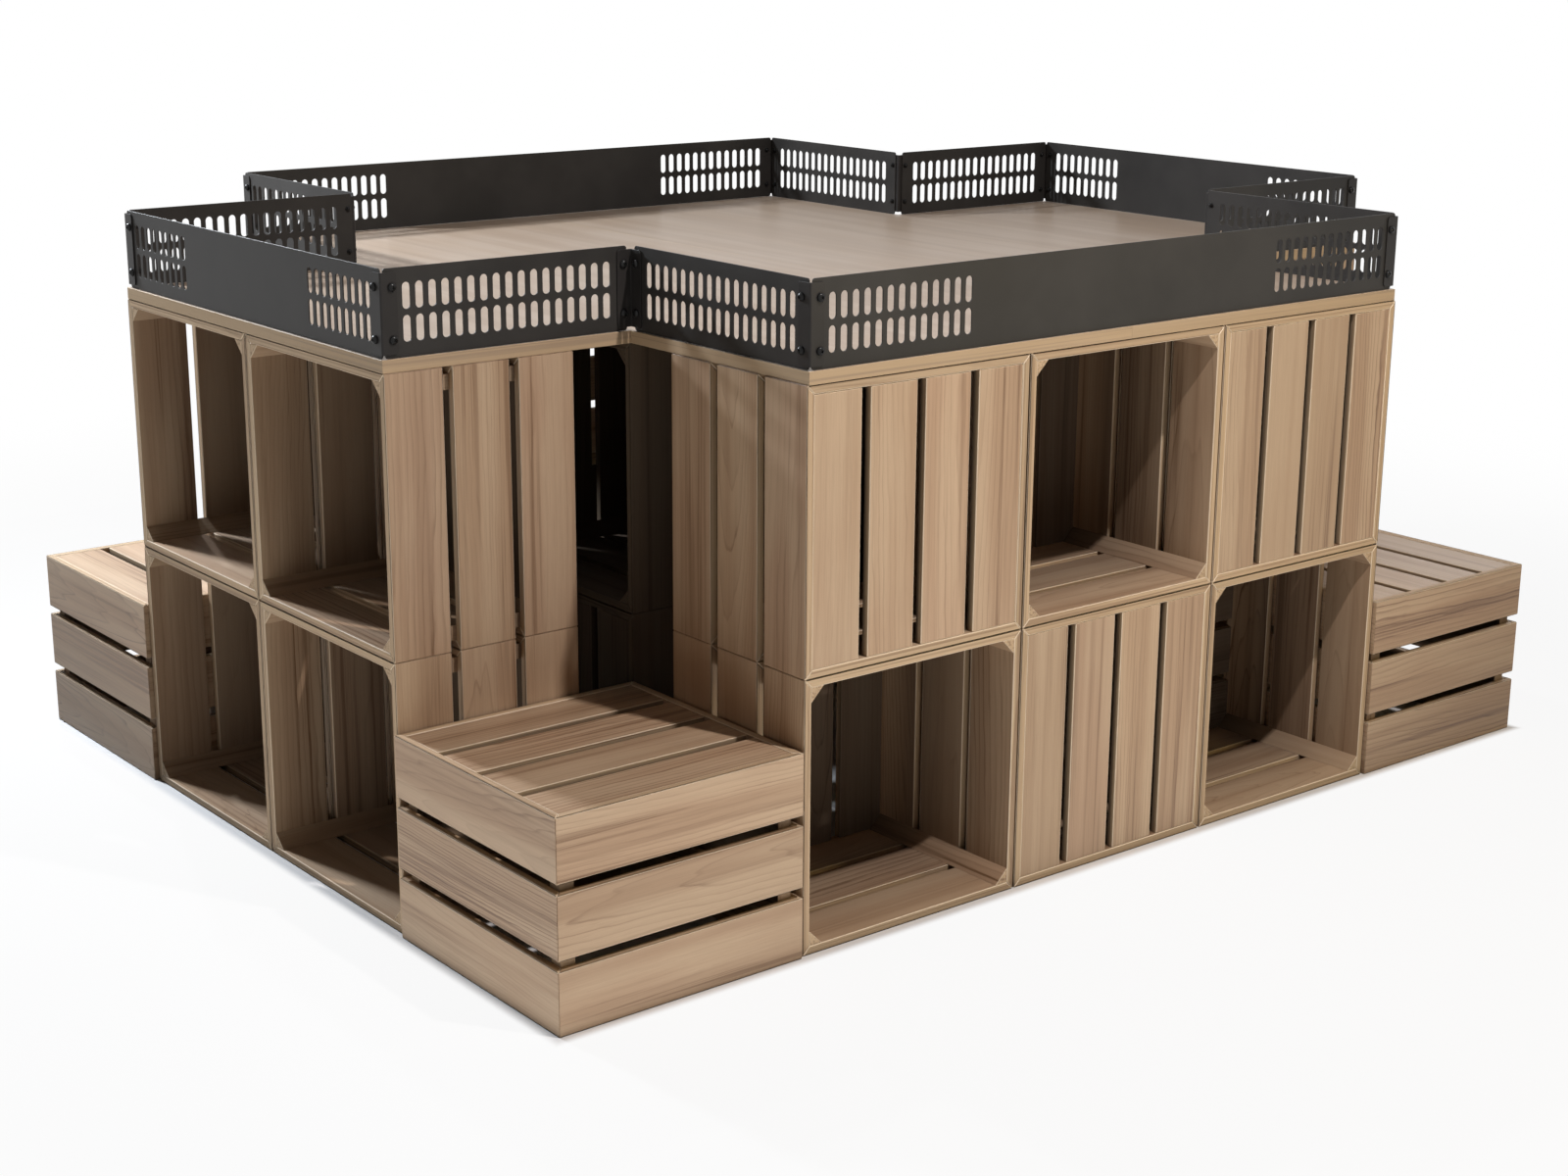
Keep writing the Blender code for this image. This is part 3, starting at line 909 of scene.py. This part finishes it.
def buildBracket(node, number, headMesh, endMesh):
    low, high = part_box(node)
    middle = (low + high) / 2
    turnsOutwards = "inner" not in node
    side = -1 if turnsOutwards else 1
    cornerX = nearestLine(middle.x, bracket["linesX"])
    cornerY = nearestLine(middle.y, bracket["linesY"])
    turn = math.atan2(math.copysign(side, side * cornerY),
                      math.copysign(side, side * cornerX)) - math.pi / 4
    place = Matrix.Translation((cornerX, cornerY, middle.z)) @ Matrix.Rotation(turn, 4, "Z")
    mesh = bracketMesh(node + "_fold", turnsOutwards)
    mesh.transform(place)
    shown = showPiece(mesh, node + "_fold", bracketFinish, node)
    thicken = shown.modifiers.new("sheet", "SOLIDIFY")
    thicken.thickness = bracket["thickness"]
    thicken.offset = 0
    soften = shown.modifiers.new("edges", "BEVEL")
    soften.width = bracket["edge"]
    soften.segments = 2
    soften.limit_method = "ANGLE"
    soften.angle_limit = math.radians(bracket["edgeAngle"])

    # two screws through each flange, each with its cross turned its own way
    chance = random.Random(screw["seed"] + number)
    seat = side * (bracket["gap"] + bracket["thickness"])
    back = -side * panel["thickness"]
    bm = bmesh.new()
    for z in (-bracket["spacing"] / 2, bracket["spacing"] / 2):
        for first in (True, False):
            for source, away, facing in ((headMesh, seat, side), (endMesh, back, -side)):
                point = Vector((bracket["setback"], away, z) if first else (away, bracket["setback"], z))
                way = Vector((0, facing, 0) if first else (facing, 0, 0))
                stand = Vector((0, 0, 1)).rotation_difference(way).to_matrix().to_4x4()
                spin = Matrix.Rotation(chance.uniform(0, math.pi / 2), 4, "Z")
                copy = source.copy()
                copy.transform(place @ Matrix.Translation(point) @ stand @ spin)
                bm.from_mesh(copy)
                bpy.data.meshes.remove(copy)
    mesh = builtMesh(bm, node + "_screws", turned=False)
    smoothRound(mesh, 40)
    mesh.materials.clear()
    showPiece(mesh, node + "_screws", screwFinish, node, replacing=False)


headMesh, endMesh = screwMesh(), stemMesh()
bracketNodes = sorted(name for name in frame["nodes"] if name.startswith("bracket_"))
for number, node in enumerate(bracketNodes):
    buildBracket(node, number, headMesh, endMesh)
print("stand:", len(bracketNodes), "brackets and their screws built")


# floor, lamps and background

stage = {
    "floorHalf": 40.0,
    "footprint": (1.008, 0.806),
    "drop": 0.0004,
    # width of the painted shade along the stand's foot
    "footShadeWidth": 0.02,
    "seenTone": 0.80,
    "seenGlow": 0.90,
    "seenWhite": (1.4, 3.4),
    "bounceTone": 0.10,
    "bounceGlow": 1.60,
    "bounceColour": (1.00, 0.96, 0.91),
    "bouncePlaces": (((-0.30, -1.85, 0.0), 1.0), ((-1.95, -0.80, 0.0), 1.08)),
    "bounceReach": (0.5, 1.7),
    "ambient": (0.010, 0.010, 0.011),
}

lamps = {
    "key": {"place": (-0.21, -1.95, 2.70), "aim": (-0.40, -0.80, 0.30), "size": 0.06, "power": 47,
            "colour": (1.0, 0.93, 0.90)},
    "leftBack": {"place": (-1.24, 1.50, 1.70), "aim": (-0.80, 0.30, 0.50), "size": 0.16, "power": 50,
                 "colour": (0.86, 0.92, 1.0)},
    "back": {"place": (0.0, 3.44, 5.30), "aim": (0.0, 0.0, 0.4), "size": 0.14, "power": 62,
             "colour": (0.92, 0.96, 1.0)},
    "warm": {"place": (1.10, -2.50, 0.85), "aim": (0.2, -0.8, 0.5), "size": 0.40, "power": 7,
             "colour": (1.0, 0.80, 0.42)},
    "right": {"place": (3.20, 0.60, 0.60), "aim": (1.0, 0.0, 0.4), "size": 1.00, "power": 6,
              "colour": (1.0, 0.96, 0.92)},
}


def addFloor():
    bm = bmesh.new()
    bmesh.ops.create_grid(bm, x_segments=8, y_segments=8, size=stage["floorHalf"])
    finish = Finish(bpy.data.materials, "studioFloor")
    seen = finish.seen()
    place = finish.node("ShaderNodeTexCoord", {}, {}, "Object")
    away = finish.node("ShaderNodeVectorMath", {"operation": "LENGTH"}, {0: place}, "Value")
    aside = finish.node("ShaderNodeVectorMath", {"operation": "ABSOLUTE"}, {0: place})
    sideX, sideY, _ = finish.split(aside)
    outside = finish.node("ShaderNodeMath", {"operation": "MAXIMUM"},
                          {0: sideX - stage["footprint"][0], 1: sideY - stage["footprint"][1]})
    # painted shade: no glow under the stand, fading back in just outside its foot
    clear = finish.rise(outside, 0.0, stage["footShadeWidth"])

    # the camera sees a white floor with the stand's shadow on it, and close by the stand the floor
    # glows for light on its way, standing in for light bounced off the floor
    tones = [(stage[name],) * 3 for name in ("bounceTone", "seenTone")]
    finish.set(Base_Color=finish.mix(*tones, seen), Roughness=0.9, Specular_IOR_Level=0.0)
    surface = Wire(finish, finish.shader.outputs[0])
    far = finish.rise(away, *stage["seenWhite"])
    white = finish.node("ShaderNodeEmission", {}, {"Color": (1, 1, 1), "Strength": 1.0})
    bounce = finish.node("ShaderNodeEmission", {}, {"Color": stage["bounceColour"],
                                                    "Strength": stage["bounceGlow"]})
    glow = far * (1 - stage["seenGlow"]) + stage["seenGlow"]
    shown = finish.node("ShaderNodeMixShader", {}, {0: clear * glow, 1: surface, 2: white})
    near = 0.0
    for centre, level in stage["bouncePlaces"]:
        apart = finish.node("ShaderNodeVectorMath", {"operation": "DISTANCE"},
                            {0: place, 1: centre}, "Value")
        near = finish.rise(apart, *stage["bounceReach"], level, 0.0) + near
    thrown = finish.node("ShaderNodeMixShader", {}, {0: clear * near, 1: surface, 2: bounce})
    mixed = finish.node("ShaderNodeMixShader", {}, {0: seen, 1: thrown, 2: shown})
    finish.feed(finish.tree.nodes["Material Output"].inputs["Surface"], mixed)
    floor = addObject("studioFloor", builtMesh(bm, "studioFloor", turned=False))
    floor.data.materials.append(finish.owner)
    floor.location.z = -stage["drop"]


def addLamp(name, settings):
    data = bpy.data.lights.new(name, "AREA")
    data.shape = "SQUARE"
    data.size = settings["size"]
    data.energy = settings["power"]
    data.color = settings["colour"]
    lamp = addObject(name, data)
    lamp.location = settings["place"]
    way = Vector(settings["aim"]) - lamp.location
    lamp.rotation_euler = way.to_track_quat("-Z", "Y").to_euler()


def addBackground():
    # white where it is seen, and a faint light everywhere else
    sky = Finish(bpy.data.worlds, "studio", "Background")
    sky.set(Color=sky.mix(stage["ambient"], (1, 1, 1), sky.seen()))
    bpy.context.scene.world = sky.owner


addFloor()
for name, settings in lamps.items():
    addLamp(name + "Lamp", settings)
addBackground()
bpy.context.scene.view_settings.view_transform = "Standard"
print("stand: floor, lamps and background set")

print("stand: done")
